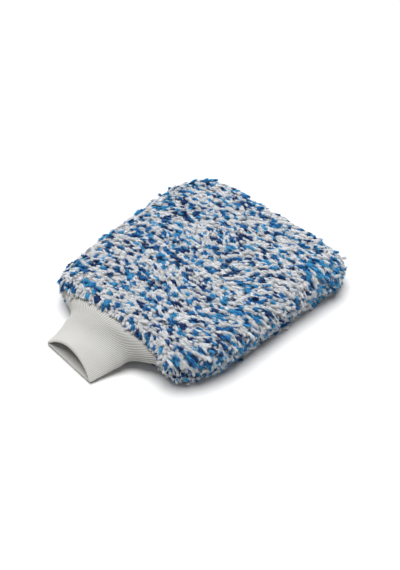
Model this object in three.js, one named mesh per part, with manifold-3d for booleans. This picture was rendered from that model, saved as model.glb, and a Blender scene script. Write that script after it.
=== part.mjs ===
// A plush microfibre wash mitt with a rib-knit cuff, lying flat on its palm side.
// Millimetres, +Z up. The cuff points along -Y and the finger end along +Y.
// The origin ends up under the middle of the whole mitt, on the surface it lies on.

import * as THREE from 'three';
import { mergeVertices } from 'three/addons/utils/BufferGeometryUtils.js';
import Module from 'manifold-3d';

const wasm = await Module();
wasm.setup();

// Driving dimensions of the body, measured over the pile.
const BODY_LENGTH = 230;
const FINGER_END_WIDTH = 215;
const CUFF_END_WIDTH = 195;
const CORNER_POWER = 5;
const MOUTH_RECESS = 8;
const RECESS_HALF_WIDTH = 62;
const PILE_OVERHANG = 11;

// Thickness of each layer, from the surface upwards, and the clearance between layers.
const BOTTOM_PILE = 13;
const BACKING = 1.3;
const FOAM = 2.5;
const LINING = 0.8;
const CAVITY = 7;
const TOP_PILE = 13;
const GAP = 0.3;

// The cuff: a knit tube that is folded double, sewn into the mouth of the body.
const CUFF_WALL = 3;
const NECK_Y = 2;
const SEAM_Y = 14;
const HINGE_GAP = 0.3;
const SEAM_DEPTH = 1.4;
const SEAM_HEIGHT = 2;

// Smoothness of the solids.
const OUTLINE_STEPS = 64;
const TUBE_STEPS = 40;
const CENTRE_INSET = 88;

// Levels of the stacked layers.
const bottomBacking = BOTTOM_PILE + GAP;
const bottomFoam = bottomBacking + BACKING + GAP;
const bottomLining = bottomFoam + FOAM + GAP;
const cavityFloor = bottomLining + LINING;
const cavityRoof = cavityFloor + CAVITY;
const topFoam = cavityRoof + LINING + GAP;
const topBacking = topFoam + FOAM + GAP;
const topPile = topBacking + BACKING + GAP;
const crown = topPile + TOP_PILE;
const middle = (cavityFloor + cavityRoof) / 2;

// Sections of the cuff. Each has its middle, the level at which it is widest, how far it rises
// above and drops below that level, how square it is, and how far it turns about Z, in radians.
const SEAM_SECTION = {
  x: -9, y: SEAM_Y, level: middle, halfWidth: 65, rise: 7.5, drop: 7.5, power: 4, turn: 0,
};
const NECK_SECTION = {
  x: -10, y: NECK_Y, level: 16, halfWidth: 42, rise: 11.5, drop: 6, power: 2.6, turn: 0,
};
const MOUTH_SECTION = {
  x: -15, y: -34, level: 4.5, halfWidth: 31, rise: 15, drop: 4.5, power: 2.2, turn: -0.08,
};

const FABRIC_ROUGHNESS = 0.9;
const COLOURS = {
  pile: '#9db3cf',
  backing: '#d9dbdc',
  foam: '#e6e0c8',
  lining: '#c9ccd0',
  thread: '#eeeeec',
  cuff: '#dcdcd6',
};

// A rounded square of unit half size, as a point at the given angle.
function squareRound(angle, power) {
  const cos = Math.cos(angle);
  const sin = Math.sin(angle);
  const radius = (Math.abs(cos) ** power + Math.abs(sin) ** power) ** (-1 / power);
  return { x: radius * cos, y: radius * sin };
}

// A point of the body's plan outline, moved inwards by an inset. The cuff side is hollowed a little.
function outlinePoint(angle, inset, z) {
  const unit = squareRound(angle, CORNER_POWER);
  const width = THREE.MathUtils.lerp(CUFF_END_WIDTH, FINGER_END_WIDTH, (unit.y + 1) / 2);
  const x = unit.x * (width / 2 - inset);
  const plainY = BODY_LENGTH / 2 + unit.y * (BODY_LENGTH / 2 - inset);
  const depth = Math.max(0, -unit.y) * (1 - inset / CENTRE_INSET);
  const recess = MOUTH_RECESS * depth * Math.exp(-((x / RECESS_HALF_WIDTH) ** 6));
  return new THREE.Vector3(x, plainY + recess, z);
}

function outlineRing(inset, z) {
  const angles = Array.from({ length: OUTLINE_STEPS }, (_, i) => (i / OUTLINE_STEPS) * 2 * Math.PI);
  return angles.map((angle) => outlinePoint(angle, inset, z));
}

// Joins rings of points, all of the same length, into one closed body. The ends are closed with a
// fan about their centre, or the last ring is joined to the first.
function ringSolid(rings, endsMeet) {
  const count = rings[0].length;
  const points = rings.flat();
  const triangles = [];
  const bands = endsMeet ? rings.length : rings.length - 1;
  for (let band = 0; band < bands; band += 1) {
    const here = band * count;
    const next = ((band + 1) % rings.length) * count;
    for (let i = 0; i < count; i += 1) {
      const j = (i + 1) % count;
      triangles.push([here + i, here + j, next + j], [here + i, next + j, next + i]);
    }
  }
  if (!endsMeet) {
    const last = (rings.length - 1) * count;
    const firstCentre = points.push(ringCentre(rings[0])) - 1;
    const lastCentre = points.push(ringCentre(rings.at(-1))) - 1;
    for (let i = 0; i < count; i += 1) {
      const j = (i + 1) % count;
      triangles.push([firstCentre, j, i], [lastCentre, last + i, last + j]);
    }
  }
  const geometry = new THREE.BufferGeometry().setFromPoints(points);
  geometry.setIndex(triangles.flat());
  return facingOut(geometry);
}

function ringCentre(ring) {
  const sum = ring.reduce((total, point) => total.add(point), new THREE.Vector3());
  return sum.divideScalar(ring.length);
}

// Turns the triangles over if the body was built inside out.
function facingOut(geometry) {
  const position = geometry.getAttribute('position');
  const index = geometry.getIndex();
  const corner = [new THREE.Vector3(), new THREE.Vector3(), new THREE.Vector3()];
  let volume = 0;
  for (let i = 0; i < index.count; i += 3) {
    corner.forEach((point, k) => point.fromBufferAttribute(position, index.getX(i + k)));
    volume += corner[0].dot(corner[1].clone().cross(corner[2]));
  }
  if (volume < 0) {
    for (let i = 0; i < index.count; i += 3) {
      const second = index.getX(i + 1);
      index.setX(i + 1, index.getX(i + 2));
      index.setX(i + 2, second);
    }
  }
  return geometry;
}

function toManifold(geometry) {
  const merged = mergeVertices(geometry, 1e-4);
  const mesh = new wasm.Mesh({
    numProp: 3,
    vertProperties: new Float32Array(merged.getAttribute('position').array),
    triVerts: new Uint32Array(merged.getIndex().array),
  });
  return new wasm.Manifold(mesh);
}

function fromManifold(solid) {
  const mesh = solid.getMesh();
  const geometry = new THREE.BufferGeometry();
  geometry.setAttribute('position', new THREE.BufferAttribute(mesh.vertProperties, 3));
  geometry.setIndex(new THREE.BufferAttribute(mesh.triVerts, 1));
  return geometry;
}

// A flat layer of cloth or foam with the body's outline.
function layer(edgeInset, low, thickness) {
  const profile = [
    [CENTRE_INSET, low + thickness],
    [edgeInset, low + thickness],
    [edgeInset, low],
    [CENTRE_INSET, low],
  ];
  return ringSolid(profile.map(([inset, z]) => outlineRing(inset, z)), false);
}

// The pile of one face. It crowns over the panel, rounds off at the shoulder, and hangs past the
// panel's edge down to the middle of the side, where it meets the other face's pile.
function pileSolid({ face, tip, shoulderInset, domeRise, outerInset }) {
  const side = Math.sign(tip - middle);
  const edgeLevel = middle + (side * GAP) / 2;
  const shoulderLevel = tip - side * domeRise;
  const profile = [];
  for (const inset of [CENTRE_INSET, 55]) {
    const run = (CENTRE_INSET - inset) / (CENTRE_INSET - shoulderInset);
    profile.push([inset, tip - side * domeRise * run ** 2]);
  }
  const shoulderSteps = 6;
  for (let i = 0; i <= shoulderSteps; i += 1) {
    const angle = (Math.PI / 2) * (1 - i / shoulderSteps);
    const inset = outerInset + (shoulderInset - outerInset) * (1 - Math.cos(angle));
    profile.push([inset, edgeLevel + (shoulderLevel - edgeLevel) * Math.sin(angle)]);
  }
  const rim = PILE_OVERHANG - GAP;
  profile.push([rim, edgeLevel], [rim, face], [CENTRE_INSET, face]);
  return ringSolid(profile.map(([inset, z]) => outlineRing(inset, z)), false);
}

// One section between two others. The share runs from 0 at the first to 1 at the second, and bend
// shapes how the width changes along the way.
function sectionBetween(first, second, share, bend) {
  const mix = (key) => THREE.MathUtils.lerp(first[key], second[key], share);
  return {
    x: mix('x'),
    y: mix('y'),
    level: mix('level'),
    halfWidth: THREE.MathUtils.lerp(first.halfWidth, second.halfWidth, share ** bend),
    rise: mix('rise'),
    drop: mix('drop'),
    power: mix('power'),
    turn: mix('turn'),
  };
}

// The ring of a cuff section, made smaller all round by an inset.
function sectionRing(section, inset) {
  const ring = [];
  for (let i = 0; i < TUBE_STEPS; i += 1) {
    const unit = squareRound((i / TUBE_STEPS) * 2 * Math.PI, section.power);
    const across = unit.x * (section.halfWidth - inset);
    const height = (unit.y > 0 ? section.rise : section.drop) - inset;
    ring.push(new THREE.Vector3(
      section.x + across * Math.cos(section.turn),
      section.y + across * Math.sin(section.turn),
      section.level + unit.y * height,
    ));
  }
  return ring;
}

function sectionsAlong(first, second, steps, bend) {
  return Array.from({ length: steps + 1 }, (_, i) => sectionBetween(first, second, i / steps, bend));
}

// A tube with a wall: out along the sections, and back inside them.
function tubeSolid(sections, wall) {
  const outer = sections.map((section) => sectionRing(section, 0));
  const inner = sections.map((section) => sectionRing(section, wall)).reverse();
  return ringSolid([...outer, ...inner], true);
}

const ROOT_STEPS = 5;
const SLEEVE_STEPS = 7;
const ROOT_FLARE = 1.2;
const SLEEVE_TAPER = 0.8;

// The part of the cuff that spreads out to the seam and stays with the body.
function cuffRoot() {
  return tubeSolid(sectionsAlong(NECK_SECTION, SEAM_SECTION, ROOT_STEPS, ROOT_FLARE), CUFF_WALL);
}

// The part of the cuff past its narrow neck. It lies down to the surface and folds at the neck.
function cuffSleeve() {
  const start = { ...NECK_SECTION, y: NECK_Y - HINGE_GAP };
  return tubeSolid(sectionsAlong(start, MOUTH_SECTION, SLEEVE_STEPS, SLEEVE_TAPER), CUFF_WALL);
}

// The overcast stitching that joins the end of the cuff to the mouth of the body.
function cuffSeam() {
  const first = { ...SEAM_SECTION, y: SEAM_Y + GAP };
  const last = { ...SEAM_SECTION, y: SEAM_Y + GAP + SEAM_DEPTH };
  return tubeSolid([first, last], SEAM_HEIGHT);
}

// The room that the cuff and its seam take up inside the mouth of the body, and behind them the
// way on into the cavity.
function cuffClearance() {
  const grow = (section) => ({
    ...section,
    halfWidth: section.halfWidth + 2 * GAP,
    rise: section.rise + 2 * GAP,
    drop: section.drop + 2 * GAP,
  });
  const wayInInset = SEAM_SECTION.rise - CAVITY / 2 + GAP;
  const wayInDepth = 5;
  const ahead = grow({ ...NECK_SECTION, y: -PILE_OVERHANG });
  const root = sectionsAlong(NECK_SECTION, SEAM_SECTION, ROOT_STEPS, ROOT_FLARE).map(grow);
  const behind = { ...SEAM_SECTION, y: SEAM_Y + GAP + SEAM_DEPTH + GAP };
  const rings = [ahead, ...root, grow(behind)].map((section) => sectionRing(section, 0));
  rings.push(sectionRing(behind, wayInInset));
  rings.push(sectionRing({ ...behind, y: behind.y + wayInDepth }, wayInInset));
  return toManifold(ringSolid(rings, false));
}

// The angle, seen from the middle of the body, of a point on the cuff side of the outline.
function cuffSideAngle(x, inset) {
  const unitX = x / (CUFF_END_WIDTH / 2 - inset);
  const unitY = -((1 - Math.abs(unitX) ** CORNER_POWER) ** (1 / CORNER_POWER));
  return Math.atan2(unitY, unitX);
}

// The rolled seam round the sides and the finger end. It stops at each side of the cuff.
function edgeSeam() {
  const inner = PILE_OVERHANG + 6;
  const outer = PILE_OVERHANG + 1;
  const low = cavityFloor + GAP;
  const high = cavityRoof - GAP;
  const cuffReach = SEAM_SECTION.halfWidth + 3;
  const first = cuffSideAngle(SEAM_SECTION.x + cuffReach, inner);
  const last = cuffSideAngle(SEAM_SECTION.x - cuffReach, inner) + 2 * Math.PI;
  const steps = OUTLINE_STEPS - 12;
  const rings = [];
  for (let i = 0; i <= steps; i += 1) {
    const angle = THREE.MathUtils.lerp(first, last, i / steps);
    rings.push([
      outlinePoint(angle, inner, low),
      outlinePoint(angle, outer, low),
      outlinePoint(angle, outer, high),
      outlinePoint(angle, inner, high),
    ]);
  }
  return ringSolid(rings, false);
}

function clearOfCuff(geometry, clearance) {
  return fromManifold(toManifold(geometry).subtract(clearance));
}

function addPiece(parent, name, geometry, colour) {
  const material = new THREE.MeshStandardMaterial({
    color: colour,
    roughness: FABRIC_ROUGHNESS,
    metalness: 0,
  });
  const mesh = new THREE.Mesh(geometry, material);
  mesh.name = name;
  parent.add(mesh);
}

const lining = PILE_OVERHANG + 1;
const clearance = cuffClearance();
const mitt = new THREE.Group();

const bodyPieces = [
  ['bottom_pile', COLOURS.pile, pileSolid({
    face: BOTTOM_PILE, tip: 0, shoulderInset: 16, domeRise: 0, outerInset: 2,
  })],
  ['bottom_backing', COLOURS.backing, layer(PILE_OVERHANG, bottomBacking, BACKING)],
  ['bottom_foam', COLOURS.foam, layer(lining, bottomFoam, FOAM)],
  ['bottom_lining', COLOURS.lining, layer(lining, bottomLining, LINING)],
  ['top_lining', COLOURS.lining, layer(lining, cavityRoof, LINING)],
  ['top_foam', COLOURS.foam, layer(lining, topFoam, FOAM)],
  ['top_backing', COLOURS.backing, layer(PILE_OVERHANG, topBacking, BACKING)],
  ['top_pile', COLOURS.pile, pileSolid({
    face: topPile, tip: crown, shoulderInset: 26, domeRise: 3, outerInset: 0,
  })],
];
for (const [name, colour, geometry] of bodyPieces) {
  addPiece(mitt, name, clearOfCuff(geometry, clearance), colour);
}
addPiece(mitt, 'edge_seam', edgeSeam(), COLOURS.thread);
addPiece(mitt, 'cuff_seam', cuffSeam(), COLOURS.thread);
addPiece(mitt, 'cuff_root', cuffRoot(), COLOURS.cuff);
addPiece(mitt, 'cuff_sleeve', cuffSleeve(), COLOURS.cuff);

// The origin goes under the middle of the mitt, level with its underside.
const extent = new THREE.Box3().setFromObject(mitt);
const centre = extent.getCenter(new THREE.Vector3());
mitt.position.set(-centre.x, -centre.y, -extent.min.z);

export default mitt;
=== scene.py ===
# A plush microfibre wash mitt with a rib-knit cuff, lying on a pale studio floor.
# Lengths are in metres. +Z is up, the cuff points along -Y and the finger end along +Y.
import math

import bpy
import numpy as np
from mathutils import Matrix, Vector, noise


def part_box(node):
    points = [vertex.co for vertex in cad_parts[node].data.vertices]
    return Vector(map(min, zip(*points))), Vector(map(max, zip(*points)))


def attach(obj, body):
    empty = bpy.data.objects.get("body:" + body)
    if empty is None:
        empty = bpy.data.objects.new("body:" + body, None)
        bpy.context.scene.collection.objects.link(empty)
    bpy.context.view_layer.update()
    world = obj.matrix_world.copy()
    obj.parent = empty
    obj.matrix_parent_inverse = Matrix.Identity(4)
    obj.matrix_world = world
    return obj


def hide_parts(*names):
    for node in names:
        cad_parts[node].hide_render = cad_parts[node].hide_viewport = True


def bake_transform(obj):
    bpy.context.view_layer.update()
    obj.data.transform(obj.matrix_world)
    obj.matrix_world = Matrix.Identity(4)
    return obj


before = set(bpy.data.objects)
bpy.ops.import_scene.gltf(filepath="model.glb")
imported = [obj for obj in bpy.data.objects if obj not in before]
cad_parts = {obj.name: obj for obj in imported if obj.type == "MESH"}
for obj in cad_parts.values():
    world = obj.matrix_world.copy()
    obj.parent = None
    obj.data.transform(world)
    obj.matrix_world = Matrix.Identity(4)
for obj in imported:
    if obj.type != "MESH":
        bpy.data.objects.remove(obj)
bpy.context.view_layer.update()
MM = 0.001

# Driving dimensions of the body, over the tips of its pile.
BODY_LENGTH = 230 * MM
FINGER_END_WIDTH = 215 * MM
CUFF_END_WIDTH = 195 * MM
CORNER_POWER = 5
MOUTH_RECESS = 8 * MM
RECESS_HALF_WIDTH = 62 * MM
# The insets at which the plan outline starts to close on its centre, and at which it has become a point.
CENTRE_INSET = 88 * MM
MIDDLE_INSET = 107 * MM

TOP_LOW, TOP_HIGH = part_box("top_pile")
ROOT_LOW, ROOT_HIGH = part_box("cuff_root")
CROWN = TOP_HIGH.z
MIDDLE = TOP_LOW.z
BODY_START = TOP_HIGH.y - BODY_LENGTH
BODY_CENTRE_Y = TOP_HIGH.y - BODY_LENGTH / 2
NECK_Y = ROOT_LOW.y
SEAM_Y = ROOT_HIGH.y
MOUTH_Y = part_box("cuff_sleeve")[0].y
CUFF_CENTRE_X = (ROOT_LOW.x + ROOT_HIGH.x) / 2

# The dense mat under the loose strands: how far inside the tips it lies.
MAT_BELOW_TIPS = 6.3 * MM
MAT_ABOVE_FLOOR = 3.0 * MM
MAT_SIDE_INSET = 8.6 * MM
MAT_COLUMNS = 200
# How much its top sinks towards the edge, where its rounded sides begin, and the groove of the seam.
TOP_CROWN = 2.5 * MM
TOP_SHOULDER = 27 * MM
LOW_SHOULDER = 15 * MM
SEAM_GROOVE = 3 * MM
SEAM_HALF_HEIGHT = 2 * MM
# How far the upper layer bulges forwards over the cuff.
CUFF_OVERHANG = 9.5 * MM
# Slack of the cloth, as (height, wavelength, seed) of smooth noise.
TOP_WAVES = ((1.8 * MM, 60 * MM, 1), (1.2 * MM, 24 * MM, 2))
SIDE_BUMPS = ((1.8 * MM, 38 * MM, 3), (1.6 * MM, 15 * MM, 4))
# Corners where the pile fabric reaches out further: which way, and how far in the lower and upper layers.
LONG_CORNERS = (((1, 1), 13 * MM, 8 * MM), ((-1, -1), 3 * MM, 3 * MM))
# The mat is puffed up by a cloth simulation: its pressure, its frames, and how far a point may move.
SWELL_PRESSURE = 4
SWELL_FRAMES = 20
SWELL_CAP = 3 * MM

# Tufts of the pile: how far apart they are, and the share of them kept where the mitt lies on them.
TUFT_SPACING = {"top": 1.9 * MM, "bottom": 2.1 * MM}
UNDERSIDE_SHARE = 0.6
# Each is a lock of filaments twisted together.
TUFT_STEPS = 7
FILAMENTS = 9
FILAMENT_SIDES = 3
FILAMENT_RADIUS = 0.58 * MM
LOCK_RADIUS = 1.3 * MM
GOLDEN_ANGLE = math.radians(137.5)
# It is longer and more curled on the sides than on the top, and shorter over the cuff.
TOP_LENGTH = 8 * MM
SIDE_LENGTH = 12 * MM
CUFF_SIDE_SHORTENING = 0.4
TOP_CURL = 0.3
SIDE_CURL = 0.9
# It leaves the mat at the lift and ends at the end lift, in degrees as (average, spread).
TUFT_LIFT = (34, 12)
TUFT_END_LIFT = (-2, 6)
# The share of the lift left on the underside, the droop on the sides, and how far blue tufts stand out.
UNDERSIDE_LIFT = 0.35
SIDE_DROOP = 0.35
BLUE_LIFT = 0.3 * MM
# The tufts' heading from +X on the top, and how it swirls, as (radians, wavelength, seed) of smooth noise.
HEADING = 0.12
SWIRLS = ((0.75, 48 * MM, 5), (0.35, 17 * MM, 6))
# How far (outwards, downwards) they lie on the sides, over and under the seam, and their way over the cuff.
UPPER_SIDE_LIE = (0.5, 0.9)
LOWER_SIDE_LIE = (1.0, 0.45)
CUFF_LIE = (0.6, -1, -0.3)
# How much single tufts stray from the heading, from the lie on the sides and from the lie over the cuff.
HEADING_STRAY = 0.17
SIDE_STRAY = 0.38
CUFF_STRAY = 0.25
# The room that tufts keep to the floor, filaments to the floor, and tufts to the cuff.
FLOOR_CLEARANCE = 0.7 * MM
FILAMENT_CLEARANCE = 0.2 * MM
CUFF_CLEARANCE = 1.6 * MM
# Squares across a patch's flat layout, one for each filament, and the share of a square that is used.
LAYOUT_GRID = 76
LAYOUT_USED = 0.8
# Patches that each face's tufts are split into, across and along.
PATCH_COLUMNS = 4
PATCH_ROWS = 3

# Yarn colours of the pile as linear red, green and blue.
WHITE_YARN = (0.90, 0.92, 0.95)
BLUE_YARNS = ((0.030, 0.310, 0.690), (0.008, 0.125, 0.420), (0.003, 0.024, 0.120))
# Blue tufts come in flecks, longer along the lie of the pile than across it. Their reach is (least, most).
FLECK_SPACING = 6.6 * MM
FLECK_LENGTHENING = 1.5
FLECK_REACH = (1.8 * MM, 3.4 * MM)
# How many tufts are compared with all the flecks at once, which bounds the memory used.
TUFTS_AT_ONCE = 1000
# The share of tufts that have their fleck's own shade at the root, and the same shade at root and tip.
FLECK_SHADE_SHARE = 0.7
SAME_TIP_SHARE = 0.6
# Painted shade at the roots: how bright a tuft's root is painted beside the rest of it.
PAINTED_ROOT_SHADE = 0.88


# ---------------------------------------------------------------- geometry helpers


def square_round(angle, power):
    """Points of a rounded square of unit half size, at the given angles."""
    cos, sin = np.cos(angle), np.sin(angle)
    radius = (np.abs(cos) ** power + np.abs(sin) ** power) ** (-1 / power)
    return radius * cos, radius * sin


def outline(angle, inset):
    """The body's plan outline over the pile tips, moved inwards by an inset and closing on its centre."""
    shrink = min(1, (MIDDLE_INSET - inset) / (MIDDLE_INSET - CENTRE_INSET))
    inset = min(inset, CENTRE_INSET)
    unit_x, unit_y = square_round(angle, CORNER_POWER)
    width = between(CUFF_END_WIDTH, FINGER_END_WIDTH, (unit_y + 1) / 2)
    x = unit_x * (width / 2 - inset)
    depth = np.maximum(0, -unit_y) * (1 - inset / CENTRE_INSET)
    recess = MOUTH_RECESS * depth * np.exp(-((x / RECESS_HALF_WIDTH) ** 6))
    y = unit_y * (BODY_LENGTH / 2 - inset) + recess
    return x * shrink, BODY_CENTRE_Y + y * shrink


def mesh_object(name, points, faces, material):
    """A smooth-shaded object from an (n, 3) array of points and an (m, 4) array of faces."""
    points, faces = np.asarray(points, np.float32), np.asarray(faces, np.int32)
    mesh = bpy.data.meshes.new(name)
    mesh.vertices.add(len(points))
    mesh.vertices.foreach_set("co", points.ravel())
    mesh.loops.add(faces.size)
    mesh.loops.foreach_set("vertex_index", faces.ravel())
    mesh.polygons.add(len(faces))
    starts = np.arange(0, faces.size, faces.shape[1], dtype=np.int32)
    mesh.polygons.foreach_set("loop_start", starts)
    mesh.polygons.foreach_set("use_smooth", np.full(len(faces), True))
    mesh.update(calc_edges=True)
    mesh.materials.append(material)
    obj = bpy.data.objects.new(name, mesh)
    bpy.context.scene.collection.objects.link(obj)
    return obj


def band_faces(rings, count, closed_rings=False):
    """Quads that join rows of points into bands, each row being a closed ring."""
    bands = rings if closed_rings else rings - 1
    row = np.arange(bands)[:, None] * count
    following = (np.arange(bands)[:, None] + 1) % rings * count
    here = np.arange(count)[None, :]
    beside = (here + 1) % count
    return np.stack([row + here, following + here, following + beside, row + beside], -1).reshape(-1, 4)


def unit(vectors):
    length = np.linalg.norm(vectors, axis=-1, keepdims=True)
    return vectors / np.maximum(length, 1e-12)


def between(low, high, share):
    return low + (high - low) * share


def smoothstep(low, high, value):
    share = np.clip((value - low) / (high - low), 0, 1)
    return share * share * (3 - 2 * share)


def soft_noise(points, wavelength, seed):
    """Smooth noise from -1 to 1 at each point, the same on every run."""
    offset = Vector((seed * 17.3, seed * 5.1, seed * 9.7))
    return np.array([noise.noise(Vector(p) / wavelength + offset) for p in points])


def layered_noise(points, layers):
    """The sum of (height, wavelength, seed) layers of smooth noise."""
    return sum(height * soft_noise(points, wavelength, seed) for height, wavelength, seed in layers)


# ---------------------------------------------------------------- materials

# Nearly all of a noise texture's values lie between these.
NOISE_LOW = 0.3
NOISE_HIGH = 0.7
# How many noise cells the fibre streaks have across and along one filament.
STREAKS_ACROSS = 6
STREAKS_ALONG = 0.7
KNIT_COLOUR = (0.60, 0.595, 0.57)
FOAM_COLOUR = (0.95, 0.95, 0.9)
# How far from the middle of a foam cell its walls are, in cells.
CELL_REACH = 0.7


def new_material(name):
    material = bpy.data.materials.new(name)
    material.use_nodes = True
    tree = material.node_tree
    return material, tree, tree.nodes["Principled BSDF"]


def add_node(tree, kind, inputs=(), **settings):
    """A new node. An input is either a number or the output that feeds it."""
    node = tree.nodes.new(kind)
    for key, value in settings.items():
        setattr(node, key, value)
    for key, value in dict(inputs).items():
        if isinstance(value, bpy.types.NodeSocket):
            tree.links.new(value, node.inputs[key])
        else:
            node.inputs[key].default_value = value
    return node


def maths(tree, operation, *values):
    return add_node(tree, "ShaderNodeMath", enumerate(values), operation=operation).outputs[0]


def mesh_value(tree, name, output="Fac"):
    """A value stored on the mesh's points."""
    return add_node(tree, "ShaderNodeAttribute", attribute_name=name).outputs[output]


def object_place(tree):
    return add_node(tree, "ShaderNodeTexCoord").outputs["Object"]


def noise_texture(tree, place, scale, detail, roughness=0.5):
    inputs = {"Vector": place, "Scale": scale, "Detail": detail, "Roughness": roughness}
    return add_node(tree, "ShaderNodeTexNoise", inputs).outputs["Fac"]


def map_range(tree, value, low, high, from_low=NOISE_LOW, from_high=NOISE_HIGH):
    """Runs from low to high while the value crosses its own range."""
    inputs = {"Value": value, "From Min": from_low, "From Max": from_high, "To Min": low, "To Max": high}
    return add_node(tree, "ShaderNodeMapRange", inputs).outputs["Result"]


def set_colour(tree, shader, colour, brightness):
    """Gives the shader a colour multiplied by a varying brightness."""
    scaled = add_node(tree, "ShaderNodeVectorMath", {0: colour, "Scale": brightness}, operation="SCALE")
    tree.links.new(scaled.outputs[0], shader.inputs["Base Color"])


def set_relief(tree, shader, height, strength, distance):
    """Gives the shader small bumps as high as the distance."""
    bump = add_node(tree, "ShaderNodeBump", {"Height": height, "Strength": strength, "Distance": distance})
    tree.links.new(bump.outputs["Normal"], shader.inputs["Normal"])


def strand_material():
    """Microfibre yarn: its dye with painted shade at the root, and fine fibres running along each filament.
    """
    material, tree, shader = new_material("microfibre_strand")
    layout = add_node(tree, "ShaderNodeUVMap", uv_map="OFBake").outputs["UV"]
    stretch = (LAYOUT_GRID * STREAKS_ACROSS, LAYOUT_GRID * STREAKS_ALONG, 1)
    fibres = add_node(tree, "ShaderNodeVectorMath", {0: layout, 1: stretch}, operation="MULTIPLY").outputs[0]
    streaks = noise_texture(tree, fibres, 1, 3, 0.6)
    # The stored dye carries the yarn's colour and the painted shade at each tuft's root.
    set_colour(tree, shader, mesh_value(tree, "dye", "Color"), map_range(tree, streaks, 0.84, 1.08))
    set_relief(tree, shader, streaks, 0.6, 0.25 * MM)
    tree.links.new(map_range(tree, streaks, 0.65, 0.95), shader.inputs["Roughness"])
    shader.inputs["Specular IOR Level"].default_value = 0.2
    shader.inputs["Sheen Weight"].default_value = 0.1
    shader.inputs["Subsurface Weight"].default_value = 0.6
    shader.inputs["Subsurface Radius"].default_value = (1, 1, 1)
    shader.inputs["Subsurface Scale"].default_value = 2.5 * MM
    return material


def mat_material():
    """The dense roots of the pile: short matted fibres with a little of the blue dyes, greyed as painted
    shade.
    """
    material, tree, shader = new_material("pile_mat")
    place = object_place(tree)
    clumps = noise_texture(tree, place, 260, 3)
    tint = add_node(tree, "ShaderNodeValToRGB", {"Fac": clumps})
    blue, white = tint.color_ramp.elements
    blue.position, blue.color = 0.30, (0.05, 0.13, 0.30, 1)
    # The white stop is greyer than the white yarn: painted shade deep in the pile between the tufts.
    white.position, white.color = 0.40, (0.74, 0.76, 0.79, 1)
    tree.links.new(tint.outputs["Color"], shader.inputs["Base Color"])
    fibres = noise_texture(tree, place, 900, 4)
    set_relief(tree, shader, fibres, 0.9, 1 * MM)
    tree.links.new(map_range(tree, fibres, 0.8, 1.0), shader.inputs["Roughness"])
    return material


def knit_material():
    """Off-white rib knit. The mesh holds the ribs, and the nodes add the small stitches and painted groove
    shade.
    """
    material, tree, shader = new_material("rib_knit")
    place = object_place(tree)
    fuzz = noise_texture(tree, place, 1400, 3)
    blotches = map_range(tree, noise_texture(tree, place, 45, 2), 0.965, 1.02)
    slant = maths(tree, "PINGPONG", mesh_value(tree, "wale"), 1.0)
    course = maths(tree, "ADD", mesh_value(tree, "course"), slant)
    stitches = maths(tree, "SINE", maths(tree, "MULTIPLY", course, 2 * math.pi))
    height = maths(tree, "ADD", maths(tree, "MULTIPLY", stitches, 0.5), fuzz)
    set_relief(tree, shader, height, 0.25, 0.3 * MM)
    # Painted shade: the grooves between ribs are darkened, fully where the knit is stretched.
    light = map_range(tree, mesh_value(tree, "rib"), 0.62, 1.0, 0, 1)
    set_colour(tree, shader, KNIT_COLOUR, maths(tree, "MULTIPLY", light, blotches))
    tree.links.new(map_range(tree, fuzz, 0.75, 0.95), shader.inputs["Roughness"])
    shader.inputs["Specular IOR Level"].default_value = 0.2
    shader.inputs["Sheen Weight"].default_value = 0.2
    return material


def weave_material(name, colour, pitch, roughness):
    """Plain cloth: two crossing sets of threads in relief, with uneven dye."""
    material, tree, shader = new_material(name)
    place = object_place(tree)
    axes = add_node(tree, "ShaderNodeSeparateXYZ", {"Vector": place})
    waves = [
        maths(tree, "SINE", maths(tree, "MULTIPLY", axes.outputs[axis], 2 * math.pi / pitch))
        for axis in ("X", "Y")
    ]
    set_relief(tree, shader, maths(tree, "MULTIPLY", *waves), 0.5, 0.2 * MM)
    set_colour(tree, shader, colour, map_range(tree, noise_texture(tree, place, 120, 4), 0.85, 1.0))
    shader.inputs["Roughness"].default_value = roughness
    return material


def foam_material():
    """Open-cell foam: small round cells in relief, pale grey, each painted darker in its middle as shade."""
    material, tree, shader = new_material("thin_foam")
    place = object_place(tree)
    cells = add_node(tree, "ShaderNodeTexVoronoi", {"Vector": place, "Scale": 900}).outputs["Distance"]
    # Painted shade: each cell is darker in its hollow middle and brighter at its walls.
    set_colour(tree, shader, FOAM_COLOUR, map_range(tree, cells, 0.5, 0.8, 0, CELL_REACH))
    set_relief(tree, shader, cells, 0.6, 0.4 * MM)
    shader.inputs["Roughness"].default_value = 0.95
    return material


# ---------------------------------------------------------------- the pile


def mat_profile():
    """(inset, level) pairs of the mat from the middle of the top, round the side, to the underside."""
    top = CROWN - MAT_BELOW_TIPS
    low = MAT_ABOVE_FLOOR
    pairs = []
    for inset in np.linspace(MIDDLE_INSET, TOP_SHOULDER, 18):
        run = (MIDDLE_INSET - inset) / (MIDDLE_INSET - TOP_SHOULDER)
        pairs.append((inset, top - TOP_CROWN * run**2))
    for turn in np.linspace(0, math.pi / 2, 12)[1:]:
        inset = TOP_SHOULDER - (TOP_SHOULDER - MAT_SIDE_INSET) * math.sin(turn) ** 0.85
        drop = (top - TOP_CROWN - MIDDLE - SEAM_HALF_HEIGHT) * (1 - math.cos(turn))
        pairs.append((inset, top - TOP_CROWN - drop))
    pairs.append((MAT_SIDE_INSET + SEAM_GROOVE, MIDDLE))
    for turn in np.linspace(0, math.pi / 2, 10):
        inset = MAT_SIDE_INSET + 1 * MM + (LOW_SHOULDER - MAT_SIDE_INSET) * (1 - math.cos(turn))
        pairs.append((inset, low + (MIDDLE - SEAM_HALF_HEIGHT - low) * (1 - math.sin(turn))))
    for inset in np.linspace(LOW_SHOULDER + 1 * MM, MIDDLE_INSET, 16)[1:]:
        pairs.append((inset, low))
    return pairs


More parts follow.
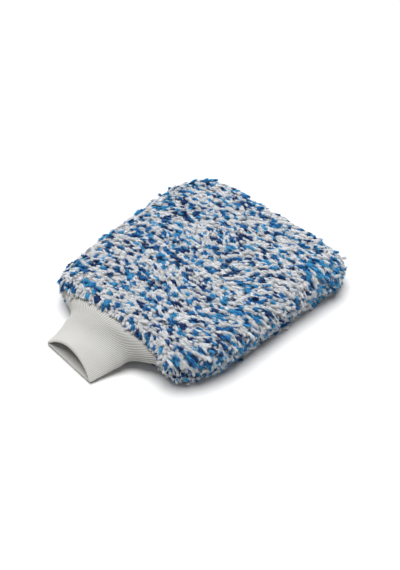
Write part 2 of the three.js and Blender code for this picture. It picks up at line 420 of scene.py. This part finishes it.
def mat_points(profile):
    """The mat's rings of points, with the slack and lumps of soft cloth."""
    angle = np.linspace(0, 2 * math.pi, MAT_COLUMNS, endpoint=False)
    rings = []
    for inset, level in profile:
        x, y = outline(angle, inset)
        rings.append(np.stack([x, y, np.full(MAT_COLUMNS, level)], -1))
    points = np.concatenate(rings)
    upper = smoothstep(MIDDLE - 6 * MM, MIDDLE + 10 * MM, points[:, 2])
    points[:, 2] += upper * layered_noise(points, TOP_WAVES)
    outward = unit((points - (0, BODY_CENTRE_Y, 0)) * (1, 1, 0))
    near_edge = smoothstep(60 * MM, 90 * MM, np.hypot(points[:, 0], points[:, 1] - BODY_CENTRE_Y))
    points += outward * (near_edge * layered_noise(points, SIDE_BUMPS))[:, None]
    half_size = np.array([FINGER_END_WIDTH, BODY_LENGTH]) / 2
    unit_place = (points[:, :2] - (0, BODY_CENTRE_Y)) / half_size
    level_share = smoothstep(MIDDLE - 2 * MM, MIDDLE + 6 * MM, points[:, 2])
    for way, low_reach, high_reach in LONG_CORNERS:
        at_corner = smoothstep(0.45, 0.85, np.min(unit_place * way, 1))
        reach = between(low_reach, high_reach, level_share)
        points[:, :2] += (at_corner * reach)[:, None] * np.array(way) / math.sqrt(2)
    front = smoothstep(BODY_START + 25 * MM, BODY_START + 8 * MM, points[:, 1])
    points[:, 1] -= front * upper * CUFF_OVERHANG
    return points


def cuff_envelope(points, margin):
    """Whether each point lies within the cuff's plan, and the cuff's lower and upper level there."""
    section = cuff_section(points[:, 1])
    across = np.abs(points[:, 0] - section["x"]) / (section["half_width"] + margin)
    arch = (1 - np.clip(across, 0, 1) ** 2) ** (section["bell"] / 2)
    upper = section["level"] + arch * (section["rise"] + margin)
    lower = section["level"] - arch * (section["drop"] + margin)
    covered = (across < 1) & (points[:, 1] < SEAM_Y + 3 * MM) & (points[:, 1] > MOUTH_Y)
    return covered, lower, upper


def in_cuff(points, margin):
    covered, lower, upper = cuff_envelope(points, margin)
    return covered & (points[:, 2] > lower) & (points[:, 2] < upper)


def swell(points, faces, held, material):
    """Puffs the mat up as cloth, with the held points fixed. Returns its new points."""
    obj = mesh_object("mat_form", points, faces, material)
    group = obj.vertex_groups.new(name="held")
    group.add(np.flatnonzero(held).tolist(), 1, "REPLACE")
    settings = obj.modifiers.new("swell", "CLOTH").settings
    settings.vertex_group_mass = "held"
    settings.use_pressure = True
    settings.uniform_pressure_force = SWELL_PRESSURE
    settings.effector_weights.gravity = 0
    scene = bpy.context.scene
    for frame_number in range(1, SWELL_FRAMES + 1):
        scene.frame_set(frame_number)
    shaped = obj.evaluated_get(bpy.context.evaluated_depsgraph_get())
    swollen = np.empty(points.size, np.float32)
    shaped.data.vertices.foreach_get("co", swollen)
    bpy.data.objects.remove(obj)
    scene.frame_set(1)
    move = swollen.reshape(points.shape) - points
    length = np.linalg.norm(move, axis=1, keepdims=True)
    return points + move * np.minimum(1, SWELL_CAP / np.maximum(length, 1e-9))


def make_mat(material):
    """The dense part of the pile as one soft shell, open where the cuff enters."""
    profile = mat_profile()
    points = mat_points(profile)
    faces = band_faces(len(profile), MAT_COLUMNS)
    insets, levels = np.array(profile).T
    held = (levels == MIDDLE) | (insets > CENTRE_INSET - 8 * MM) | (levels == MAT_ABOVE_FLOOR)
    points = swell(points, faces, np.repeat(held, MAT_COLUMNS), material)
    centres = points[faces].mean(1)
    return points, faces[~in_cuff(centres, 1 * MM)]


def scatter(points, faces, spacing, rng):
    """Points spread evenly over the faces, no two nearer than the spacing, with their normals."""
    corner = points[faces]
    normal = np.cross(corner[:, 2] - corner[:, 0], corner[:, 3] - corner[:, 1])
    area = np.linalg.norm(normal, axis=1) / 2
    tries = int(area.sum() / spacing**2 * 4)
    chosen = np.sort(rng.choice(len(faces), tries, p=area / area.sum()))
    across, along = rng.random((2, tries, 1))
    quad = corner[chosen]
    low = quad[:, 0] * (1 - across) + quad[:, 1] * across
    high = quad[:, 3] * (1 - across) + quad[:, 2] * across
    place = low * (1 - along) + high * along
    order = rng.permutation(tries)
    cells = {}
    kept = []
    keys = np.floor(place / spacing).astype(int)
    reach = [(i, j, k) for i in (-1, 0, 1) for j in (-1, 0, 1) for k in (-1, 0, 1)]
    for i in order:
        key = tuple(keys[i])
        spot = place[i]
        near = (cells.get((key[0] + a, key[1] + b, key[2] + c)) for a, b, c in reach)
        if any(n is not None and np.dot(d := place[n] - spot, d) < spacing**2 for n in near):
            continue
        cells[key] = i
        kept.append(i)
    kept = np.array(kept)
    return place[kept], unit(normal[chosen[kept]])


def lie_direction(roots, normals, rng):
    """Which way each tuft lies: in loose waves on the top, out and down at the sides, and over the cuff.

    Also how far each belongs to the sides, and how far to the edge over the cuff.
    """
    number = len(roots)
    heading = HEADING + layered_noise(roots, SWIRLS) + rng.normal(0, HEADING_STRAY, number)
    flat = np.stack([np.cos(heading), np.sin(heading), np.zeros(number)], -1)
    outward = unit(normals * (1, 1, 0) + 0.3 * unit((roots - (0, BODY_CENTRE_Y, 0)) * (1, 1, 0)))
    upper = roots[:, 2:] > MIDDLE
    reach, fall = (np.where(upper, over, below) for over, below in zip(UPPER_SIDE_LIE, LOWER_SIDE_LIE))
    edge = outward * reach - fall * (0, 0, 1) + rng.normal(0, SIDE_STRAY, (number, 3))
    steep = 1 - smoothstep(0.5, 0.95, np.abs(normals[:, 2]))[:, None]
    lean = flat * (1 - steep) + edge * steep
    near_cuff = smoothstep(SEAM_Y + 12 * MM, SEAM_Y - 1 * MM, roots[:, 1:2]) * upper
    near_cuff = near_cuff * smoothstep(72 * MM, 60 * MM, np.abs(roots[:, :1] - CUFF_CENTRE_X))
    forward = CUFF_LIE + rng.normal(0, CUFF_STRAY, (number, 3))
    lean = lean * (1 - near_cuff) + forward * near_cuff
    lean -= normals * np.sum(lean * normals, -1, keepdims=True)
    return unit(lean), steep[:, 0], near_cuff[:, 0]


def tuft_paths(roots, normals, rng):
    """The middle line of each tuft, as (tufts, steps, 3) points."""
    lean, steep, near_cuff = lie_direction(roots, normals, rng)
    number = len(roots)
    side = np.cross(normals, lean)
    share = np.linspace(0, 1, TUFT_STEPS)[None, :]
    under = normals[:, 2] < -0.6
    length = between(TOP_LENGTH, SIDE_LENGTH, steep) * rng.uniform(0.8, 1.2, number)
    length *= 1 - CUFF_SIDE_SHORTENING * near_cuff
    lift = np.radians(rng.normal(*TUFT_LIFT, number)) * np.where(under, UNDERSIDE_LIFT, 1)
    settle = np.radians(rng.normal(*TUFT_END_LIFT, number))
    curl = between(TOP_CURL, SIDE_CURL, steep) * rng.uniform(0.2, 1.5, number)
    waves = rng.uniform(0.4, 1.0, number)
    phase = rng.random(number)
    rise = lift[:, None] * (1 - share) ** 1.4 + settle[:, None]
    swing = curl[:, None] * np.sin(2 * math.pi * (share * waves[:, None] + phase[:, None]))
    direction = (
        (np.cos(rise) * np.cos(swing))[..., None] * lean[:, None]
        + (np.cos(rise) * np.sin(swing))[..., None] * side[:, None]
        + np.sin(rise)[..., None] * normals[:, None]
    )
    direction[..., 2] -= (SIDE_DROOP * steep)[:, None] * share
    steps = unit(direction) * (length / (TUFT_STEPS - 1))[:, None, None]
    return roots[:, None] + np.cumsum(steps, 1) - steps[:, :1]


def tuft_dyes(roots, lean, flecks, rng):
    """The dye at the root and tip of each tuft, white or blue, and which tufts are blue.

    The tufts of one fleck mostly share its shade of blue.
    """
    number = len(roots)
    reach = rng.uniform(*FLECK_REACH, len(flecks))
    fleck_shade = rng.integers(0, len(BLUE_YARNS), len(flecks))
    nearest = np.zeros(number, int)
    blue = np.zeros((number, 1), bool)
    for start in range(0, number, TUFTS_AT_ONCE):
        part = slice(start, start + TUFTS_AT_ONCE)
        gap = flecks[None] - roots[part, None]
        along = np.sum(gap * lean[part, None], -1)
        away = np.sum(gap**2, -1) - (1 - FLECK_LENGTHENING**-2) * along**2
        share = away / reach**2
        nearest[part] = np.argmin(share, 1)
        blue[part, 0] = np.min(share, 1) < 1
    any_shade = rng.integers(0, len(BLUE_YARNS), (2, number))
    first = np.where(rng.random(number) < FLECK_SHADE_SHARE, fleck_shade[nearest], any_shade[0])
    second = np.where(rng.random(number) < SAME_TIP_SHARE, first, any_shade[1])
    depth = rng.uniform(0.9, 1.06, (number, 1))
    blues, white = np.array(BLUE_YARNS), np.array(WHITE_YARN)
    return [np.where(blue, blues[shade], white) * depth for shade in (first, second)], blue[:, 0]


def keep_clear(paths, roots):
    """Lifts tufts off the floor, and lays those that meet the cuff over or under it."""
    flat = paths.reshape(-1, 3)
    origin = np.repeat(roots, paths.shape[1], 0)
    covered, lower, upper = cuff_envelope(flat, CUFF_CLEARANCE)
    inside = covered & (flat[:, 2] > lower) & (flat[:, 2] < upper)
    over = origin[:, 2] > MIDDLE
    flat[:, 2] = np.where(inside & over, upper, np.where(inside, lower, flat[:, 2]))
    flat[:, 2] = np.maximum(flat[:, 2], FLOOR_CLEARANCE)
    return flat.reshape(paths.shape)


def tuft_mesh(name, paths, dyes, rng, material):
    """Each tuft as a few filaments twisted round its middle line and frayed at the tip."""
    number, steps, _ = paths.shape
    share = np.linspace(0, 1, steps)
    tangent = unit(np.gradient(paths, axis=1))
    across = unit(np.cross(tangent, np.array([0.13, 0.21, 1.0])))
    upward = np.cross(tangent, across)
    phase = rng.random(number) * 2 * math.pi
    twist = rng.uniform(0.1, 0.6, number) * 2 * math.pi
    spread = LOCK_RADIUS * (0.75 + 0.5 * share**2)
    thickness = FILAMENT_RADIUS * np.maximum(1 - share**5, 0.02) ** 0.5 * (0.75 + 0.25 * share)
    points = []
    for k in range(FILAMENTS):
        angle = (phase + GOLDEN_ANGLE * k)[:, None] + twist[:, None] * share
        fray = math.sqrt((k + 0.3) / FILAMENTS) + 0.3 * rng.normal(0, 1, (number, 1)) * share**2
        reach = (spread * fray)[..., None]
        centre = paths + reach * (np.cos(angle)[..., None] * across + np.sin(angle)[..., None] * upward)
        bulk = thickness * rng.uniform(0.85, 1.25, (number, 1))
        for side in range(FILAMENT_SIDES):
            turn = angle + 2 * math.pi * side / FILAMENT_SIDES
            rim = np.cos(turn)[..., None] * across + np.sin(turn)[..., None] * upward
            points.append(centre + bulk[..., None] * rim)
    rings = np.array(points).reshape(FILAMENTS, FILAMENT_SIDES, number, steps, 3)
    rings = rings.transpose(2, 0, 3, 1, 4)
    rings[..., 2] = np.maximum(rings[..., 2], FILAMENT_CLEARANCE)
    starts = np.arange(number * FILAMENTS) * steps * FILAMENT_SIDES
    faces = (starts[:, None, None] + band_faces(steps, FILAMENT_SIDES)).reshape(-1, 4)
    obj = mesh_object(name, rings.reshape(-1, 3), faces, material)
    dye_and_shade_tufts(obj, *dyes, steps)
    lay_out_strands(obj, number * FILAMENTS, steps)
    return obj


def dye_and_shade_tufts(obj, root_dye, tip_dye, steps):
    """Stores each tuft's colour on its points, root to tip, with painted shade darkening the root a little.
    """
    share = np.linspace(0, 1, steps)
    mix = smoothstep(0.35, 0.8, share)[None, :, None]
    tint = root_dye[:, None] * (1 - mix) + tip_dye[:, None] * mix
    # Painted shade: the tint darkens towards the root, where the tufts sink into the pile.
    tint = tint * between(PAINTED_ROOT_SHADE, 1, smoothstep(0, 0.6, share))[None, :, None]
    colour = np.ones((len(tint), FILAMENTS, steps, FILAMENT_SIDES, 4), np.float32)
    colour[..., :3] = tint[:, None, :, None, :]
    store = obj.data.color_attributes.new("dye", "FLOAT_COLOR", "POINT")
    store.data.foreach_set("color", np.clip(colour, 0, 1).ravel())


def lay_out_strands(obj, filaments, steps):
    """A flat layout with one small square for each filament, so that a texture can hold them all."""
    cell = np.arange(filaments)
    corner = np.stack([cell % LAYOUT_GRID, cell // LAYOUT_GRID], -1) / LAYOUT_GRID
    side = np.arange(FILAMENT_SIDES)[:, None] + np.array([[0, 1, 1, 0]])
    along = np.arange(steps - 1)[:, None, None] + np.array([[[0, 0, 1, 1]]])
    u = np.broadcast_to(side / FILAMENT_SIDES, (steps - 1, FILAMENT_SIDES, 4))
    v = np.broadcast_to(along / (steps - 1), (steps - 1, FILAMENT_SIDES, 4))
    inner = (1 - LAYOUT_USED) / 2 + LAYOUT_USED * np.stack([u, v], -1)
    layout = corner[:, None, None, None] + inner[None] / LAYOUT_GRID
    layer = obj.data.uv_layers.new(name="OFBake")
    layer.data.foreach_set("uv", layout.astype(np.float32).ravel())


def plant_tufts(side, points, faces, rng):
    """The roots, middle lines and dyes of the tufts on one face of the mat."""
    roots, normals = scatter(points, faces, TUFT_SPACING[side], rng)
    thinned = (normals[:, 2] < -0.8) & (rng.random(len(roots)) > UNDERSIDE_SHARE)
    free = ~in_cuff(roots, 2.0 * MM) & ~thinned
    roots, normals = roots[free], normals[free]
    paths = keep_clear(tuft_paths(roots, normals, rng), roots)
    flecks, _ = scatter(points, faces, FLECK_SPACING, rng)
    dyes, blue = tuft_dyes(roots, unit(paths[:, -1] - paths[:, 0]), flecks, rng)
    paths[blue] += BLUE_LIFT * normals[blue, None]
    return roots, paths, dyes


def rank_groups(values, groups):
    """Splits values into groups of the same number, lowest first."""
    rank = np.argsort(np.argsort(values, kind="stable"), kind="stable")
    return rank * groups // len(values)


def split_patches(roots):
    """Yields each patch's column, row and tufts, all patches holding about the same number of tufts."""
    column = rank_groups(roots[:, 0], PATCH_COLUMNS)
    for i in range(PATCH_COLUMNS):
        in_column = np.flatnonzero(column == i)
        row = rank_groups(roots[in_column, 1], PATCH_ROWS)
        for j in range(PATCH_ROWS):
            yield i + 1, j + 1, in_column[row == j]


def make_pile(points, faces, rng, materials):
    """The mats and the tufts of both faces, in patches of a size that a mesh file holds."""
    above = points[faces].mean(1)[:, 2] > MIDDLE
    pieces = []
    for side, chosen in (("top", above), ("bottom", ~above)):
        mat = mesh_object(f"{side}_pile_mat", points, faces[chosen], materials["mat"])
        tufts = []
        roots, paths, dyes = plant_tufts(side, points, faces[chosen], rng)
        for column, row, patch in split_patches(roots):
            tints = [dye[patch] for dye in dyes]
            name = f"{side}_pile_{column}_{row}"
            tufts.append(tuft_mesh(name, paths[patch], tints, rng, materials["strand"]))
        for obj in (mat, *tufts):
            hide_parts(f"{side}_pile")
            pieces.append((obj, "pile"))
    return pieces


# ---------------------------------------------------------------- the cuff

# Sections along the cuff, from inside the seam to the mouth. Each is the ring's y, and then the middle of
# its width in x, the level of its sides, its half width, its rise over the sides, its drop under them, how
# bell-like its upper half is, and its turn about z.
CUFF_SECTIONS = (
    (SEAM_Y + 1 * MM, (-9 * MM, 21 * MM, 65 * MM, 8 * MM, 10 * MM, 0.5, 0)),
    (SEAM_Y - 3 * MM, (-9 * MM, 19.5 * MM, 62 * MM, 9.5 * MM, 9.5 * MM, 0.6, 0)),
    (SEAM_Y - 7 * MM, (-9.4 * MM, 18 * MM, 54 * MM, 11 * MM, 9 * MM, 0.7, 0)),
    (NECK_Y, (-10 * MM, 14.5 * MM, 42.5 * MM, 13 * MM, 7.5 * MM, 0.85, 0)),
    (NECK_Y - 12 * MM, (-12.4 * MM, 9 * MM, 37 * MM, 14.7 * MM, 5.5 * MM, 1.1, -0.03)),
    (MOUTH_Y + 14 * MM, (-14.2 * MM, 5.6 * MM, 34 * MM, 15.6 * MM, 4.2 * MM, 1.45, -0.06)),
    (MOUTH_Y + 3 * MM, (-16 * MM, 3.4 * MM, 32.3 * MM, 16.4 * MM, 3.2 * MM, 1.85, -0.08)),
)
SECTION_VALUES = ("x", "level", "half_width", "rise", "drop", "bell", "turn")
CUFF_START = CUFF_SECTIONS[0][0]
CUFF_END = CUFF_SECTIONS[-1][0]
# How far the top of the mouth is set back from its sides, and how far the inner layer is from the outer.
MOUTH_SET_BACK = 4.5 * MM
CUFF_WALL = 3.2 * MM
# Ribs round the cuff, points across one rib, and how high a rib is where the knit is relaxed and stretched.
RIBS = 104
RIB_POINTS = 6
RELAXED_RIB = 0.25 * MM
STRETCHED_RIB = 0.9 * MM
# Painted shade: how bright the groove between two ribs is painted beside the rib, where the knit is relaxed.
RELAXED_GROOVE = 0.65
COURSE_PITCH = 1.1 * MM
CUFF_SLACK = 0.5 * MM


def hermite(x, at, values):
    """Smooth interpolation through the values, level beyond the ends."""
    x = np.clip(x, at[0], at[-1])
    slope = np.gradient(values, at)
    i = np.clip(np.searchsorted(at, x) - 1, 0, len(at) - 2)
    step = at[i + 1] - at[i]
    t = (x - at[i]) / step
    return (
        (2 * t**3 - 3 * t**2 + 1) * values[i]
        + (t**3 - 2 * t**2 + t) * step * slope[i]
        + (3 * t**2 - 2 * t**3) * values[i + 1]
        + (t**3 - t**2) * step * slope[i + 1]
    )


def cuff_section(y):
    """The values of the cuff's section at each y, smoothly between the sections given."""
    at = np.array([place for place, _ in CUFF_SECTIONS])[::-1]
    table = np.array([values for _, values in CUFF_SECTIONS])[::-1]
    return {key: hermite(np.asarray(y), at, column) for key, column in zip(SECTION_VALUES, table.T)}


def cuff_ring(y, inset, count):
    """One ring of the cuff, its points evenly spaced along the top and along the bottom."""
    section = {key: float(value) for key, value in cuff_section(y).items()}
    halves = []
    for upper in (True, False):
        fine = np.linspace(0, math.pi, 400)
        height = max((section["rise"] if upper else section["drop"]) - inset, 0.3 * MM)
        bell = section["bell"] if upper else min(section["bell"], 0.6)
        across = np.cos(fine) * (section["half_width"] - inset)
        level = section["level"] + (1 if upper else -1) * height * np.sin(fine) ** bell
        if not upper:
            across = -across
        length = np.concatenate([[0], np.cumsum(np.hypot(np.diff(across), np.diff(level)))])
        wanted = np.linspace(0, length[-1], count // 2, endpoint=False)
        halves.append((np.interp(wanted, length, across), np.interp(wanted, length, level)))
    across = np.concatenate([half[0] for half in halves])
    level = np.concatenate([half[1] for half in halves])
    turn = section["turn"]
    x = section["x"] + across * math.cos(turn)
    lifted = np.clip((level - section["level"]) / section["rise"], 0, 1)
    back = MOUTH_SET_BACK * lifted * smoothstep(NECK_Y - 5 * MM, CUFF_END, np.array(y))
    return np.stack([x, y + across * math.sin(turn) + back, level], -1)


def cuff_rings(count):
    """The rings of the doubled tube: outer layer, rounded fold at the mouth, and inner layer."""
    outer = np.linspace(CUFF_START, CUFF_END, 56)
    rings = [cuff_ring(y, 0, count) for y in outer]
    for turn in np.linspace(0, math.pi, 9)[1:-1]:
        y = CUFF_END - CUFF_WALL / 2 * math.sin(turn)
        rings.append(cuff_ring(y, CUFF_WALL / 2 * (1 - math.cos(turn)), count))
    rings += [cuff_ring(y, CUFF_WALL, count) for y in outer[::-1][::2]]
    return np.array(rings)


def make_cuff(material):
    """The rib-knit tube, with real ribs and a little slack. Its material reads the stored values."""
    count = RIBS * RIB_POINTS
    rings = cuff_rings(count)
    total = len(rings)
    along = np.gradient(rings, axis=0)
    around = np.roll(rings, -1, 1) - np.roll(rings, 1, 1)
    normal = unit(np.cross(along, around))
    if np.sum((rings[0] - rings[0].mean(0)) * normal[0]) < 0:
        normal = -normal
    phase = np.arange(count) / count * RIBS * 2 * math.pi
    rib = (0.5 + 0.5 * np.cos(phase)) ** 0.7
    stretch = smoothstep(NECK_Y - 23 * MM, NECK_Y + 4 * MM, rings[..., 1])
    height = between(RELAXED_RIB, STRETCHED_RIB, stretch)
    rings = rings + normal * (height * (rib - 0.5))[..., None]
    rings[..., 2] = np.maximum(rings[..., 2], 0.1 * MM)
    points = rings.reshape(-1, 3)
    slack = CUFF_SLACK * soft_noise(points, 22 * MM, 11)
    hang = smoothstep(0, 8 * MM, points[:, 2])
    points = points + normal.reshape(-1, 3) * (slack * hang)[:, None]
    obj = mesh_object("cuff_knit", points, band_faces(total, count, closed_rings=True), material)
    wale = np.tile(np.arange(count) / RIB_POINTS, total)
    course = np.repeat(np.cumsum(np.linalg.norm(along.mean(1), axis=1)) / COURSE_PITCH, count)
    # The rib value for the material, its grooves painted darker as shade, less where the knit is relaxed.
    groove_shaded_rib = 1 - (1 - rib) * between(1 - RELAXED_GROOVE, 1, stretch)
    for name, values in (("wale", wale), ("course", course), ("rib", groove_shaded_rib.ravel())):
        store = obj.data.attributes.new(name, "FLOAT", "POINT")
        store.data.foreach_set("value", values.astype(np.float32))
    return obj


# ---------------------------------------------------------------- the layers inside, and the seams

LAYER_INSET = 17.5 * MM
LAYER_FRONT_GAP = 3 * MM
LAYER_WAVE = 0.8 * MM
SEAM_ROLL_RADIUS = 1.3 * MM
THREAD_RADIUS = 0.35 * MM


def make_layer(node, inset, material):
    """One thin layer of the body at its CAD level, with rounded edges and the gentle waves of soft cloth."""
    low, high = (corner.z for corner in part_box(node))
    edge = (high - low) / 2
    angle = np.linspace(0, 2 * math.pi, 160, endpoint=False)
    rings = []
    for level in (high, low):
        insets = np.linspace(MIDDLE_INSET, inset + edge, 14)
        for ring_inset in insets if level == high else insets[::-1]:
            rings.append((ring_inset, level))
        if level == high:
            rings.append((inset, (low + high) / 2))
    points = []
    for ring_inset, level in rings:
        x, y = outline(angle, ring_inset)
        points.append(np.stack([x, y, np.full(len(angle), level)], -1))
    points = np.concatenate(points)
    points[:, 1] += LAYER_FRONT_GAP * smoothstep(BODY_START + 40 * MM, BODY_START + 15 * MM, points[:, 1])
    points[:, 2] += LAYER_WAVE * soft_noise(points * (1, 1, 0), 45 * MM, 21)
    obj = mesh_object(f"{node}_cloth", points, band_faces(len(rings), len(angle)), material)
    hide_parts(node)
    return obj


def tube_along(name, path, radius, sides, material):
    """A closed tube round a closed path of points."""
    tangent = unit(np.roll(path, -1, 0) - np.roll(path, 1, 0))
    across = unit(np.cross(tangent, np.array([0.11, 0.17, 1.0])))
    upward = np.cross(tangent, across)
    turn = np.linspace(0, 2 * math.pi, sides, endpoint=False)[None, :, None]
    rim = np.cos(turn) * across[:, None] + np.sin(turn) * upward[:, None]
    points = (path[:, None] + radius * rim).reshape(-1, 3)
    return mesh_object(name, points, band_faces(len(path), sides, closed_rings=True), material)


def coil_round(path, outward, depth, height, pitch):
    """A closed coil of thread that winds round a closed path, like overlock stitching."""
    length = np.linalg.norm(np.roll(path, -1, 0) - path, axis=1)
    run = np.concatenate([[0], np.cumsum(length)])
    loops = int(run[-1] / pitch)
    share = np.linspace(0, 1, loops * 12, endpoint=False)
    closed = np.concatenate([path, path[:1]])
    ways = np.concatenate([outward, outward[:1]])
    spot = np.stack([np.interp(share * run[-1], run, closed[:, k]) for k in range(3)], -1)
    way = np.stack([np.interp(share * run[-1], run, ways[:, k]) for k in range(3)], -1)
    turn = share * loops * 2 * math.pi
    spot = spot + way * (depth * np.cos(turn))[:, None]
    spot[:, 2] += height * np.sin(turn)
    return spot


def make_edge_seam(materials):
    """The seam allowance round the edge, rolled over, with overlock thread wound round it."""
    low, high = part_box("edge_seam")
    angle = np.linspace(0, 2 * math.pi, 400, endpoint=False)
    x, y = outline(angle, LAYER_INSET - 1 * MM)
    path = np.stack([x, y, np.full(len(angle), (low.z + high.z) / 2)], -1)
    gap = (np.abs(x - CUFF_CENTRE_X) < 68 * MM) & (y < SEAM_Y + 12 * MM)
    path[:, 1] += np.where(gap, LAYER_FRONT_GAP + 1 * MM, 0)
    outward = unit(np.stack([x, y - BODY_CENTRE_Y, np.zeros(len(x))], -1))
    roll = tube_along("edge_seam_roll", path, SEAM_ROLL_RADIUS, 10, materials["backing"])
    coil = coil_round(path, outward, 1.7 * MM, 2.6 * MM, 2.4 * MM)
    thread = tube_along("edge_seam_thread", coil, THREAD_RADIUS, 5, materials["thread"])
    for obj in (roll, thread):
        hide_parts("edge_seam")
    return roll, thread


def make_cuff_seam(materials):
    """Overlock thread wound round the cuff's inner end, where it is sewn between the layers."""
    ring = cuff_ring(SEAM_Y + 0.6 * MM, CUFF_WALL / 2, 300)
    outward = unit((ring - ring.mean(0)) * (1, 0, 1))
    coil = coil_round(ring, outward, 1.9 * MM, 0.5 * MM, 2.2 * MM)
    coil[:, 1] += 0.9 * MM * np.sin(np.linspace(0, 2 * math.pi * 150, len(coil)))
    thread = tube_along("cuff_seam_thread", coil, THREAD_RADIUS, 5, materials["thread"])
    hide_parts("cuff_seam")
    return thread


# ---------------------------------------------------------------- studio

# The camera stands this way round from the front and this far up, and looks past the middle of the body.
CAMERA_AZIMUTH = math.radians(43.7)
CAMERA_ELEVATION = math.radians(44.0)
CAMERA_DISTANCE = 1.1
CAMERA_LENS = 72.6
AIM_RIGHT = 0.0026
AIM_UP = 0.0033
# One wide soft light from nearly straight above, and an even white surround.
LIGHT_POWER = 3.75
LIGHT_SIZE = math.radians(50)
LIGHT_TILT = (math.radians(-6), math.radians(-9), 0)
SURROUND_POWER = 0.18
FLOOR_HALF = 30.0


def make_floor():
    material, _, shader = new_material("studio_floor")
    shader.inputs["Base Color"].default_value = (0.86, 0.86, 0.86, 1)
    shader.inputs["Roughness"].default_value = 0.9
    shader.inputs["Specular IOR Level"].default_value = 0.0
    corners = [(x * FLOOR_HALF, y * FLOOR_HALF, 0) for x, y in ((-1, -1), (1, -1), (1, 1), (-1, 1))]
    floor = mesh_object("floor", corners, [(0, 1, 2, 3)], material)


def make_light():
    world = bpy.data.worlds.new("studio")
    world.use_nodes = True
    background = world.node_tree.nodes["Background"]
    background.inputs["Color"].default_value = (1, 1, 1, 1)
    background.inputs["Strength"].default_value = SURROUND_POWER
    bpy.context.scene.world = world
    sun = bpy.data.lights.new("softbox", "SUN")
    sun.energy = LIGHT_POWER
    sun.angle = LIGHT_SIZE
    lamp = bpy.data.objects.new("softbox", sun)
    lamp.rotation_euler = LIGHT_TILT
    bpy.context.scene.collection.objects.link(lamp)


def make_camera():
    """A long lens over the cuff's right, looking down at the mitt."""
    back = Vector((
        math.sin(CAMERA_AZIMUTH) * math.cos(CAMERA_ELEVATION),
        -math.cos(CAMERA_AZIMUTH) * math.cos(CAMERA_ELEVATION),
        math.sin(CAMERA_ELEVATION),
    ))
    right = Vector((math.cos(CAMERA_AZIMUTH), math.sin(CAMERA_AZIMUTH), 0))
    up = back.cross(right)
    camera = bpy.data.objects.new("camera", bpy.data.cameras.new("camera"))
    camera.data.lens = CAMERA_LENS
    aim = Vector((0, BODY_CENTRE_Y, 0)) + right * AIM_RIGHT + up * AIM_UP
    camera.location = aim + back * CAMERA_DISTANCE
    camera.rotation_mode = "QUATERNION"
    camera.rotation_quaternion = back.to_track_quat("Z", "Y")
    bpy.context.scene.collection.objects.link(camera)
    bpy.context.scene.camera = camera


# ---------------------------------------------------------------- assembly

bpy.context.scene.view_settings.view_transform = "Standard"
make_camera()
make_floor()
make_light()
rng = np.random.default_rng(7)
materials = {
    "strand": strand_material(),
    "mat": mat_material(),
    "knit": knit_material(),
    "backing": weave_material("pile_backing", (0.62, 0.63, 0.64), 0.9 * MM, 0.9),
    "lining": weave_material("smooth_lining", (0.55, 0.56, 0.57), 0.5 * MM, 0.6),
    "thread": weave_material("sewing_thread", (0.78, 0.78, 0.76), 0.4 * MM, 0.55),
    "foam": foam_material(),
}
inner = []
for side in ("bottom", "top"):
    backing = make_layer(f"{side}_backing", LAYER_INSET, materials["backing"])
    foam = make_layer(f"{side}_foam", LAYER_INSET + 1 * MM, materials["foam"])
    lining = make_layer(f"{side}_lining", LAYER_INSET + 1 * MM, materials["lining"])
    inner += [(backing, "backing"), (foam, "foam"), (lining, "lining")]
roll, edge_thread = make_edge_seam(materials)
inner += [(roll, "backing"), (edge_thread, "thread"), (make_cuff_seam(materials), "thread")]
for piece, slot_name in make_pile(*make_mat(materials["mat"]), rng, materials) + inner:
    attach(piece, "body")
cuff = make_cuff(materials["knit"])
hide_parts("cuff_root", "cuff_sleeve")
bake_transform(cuff)
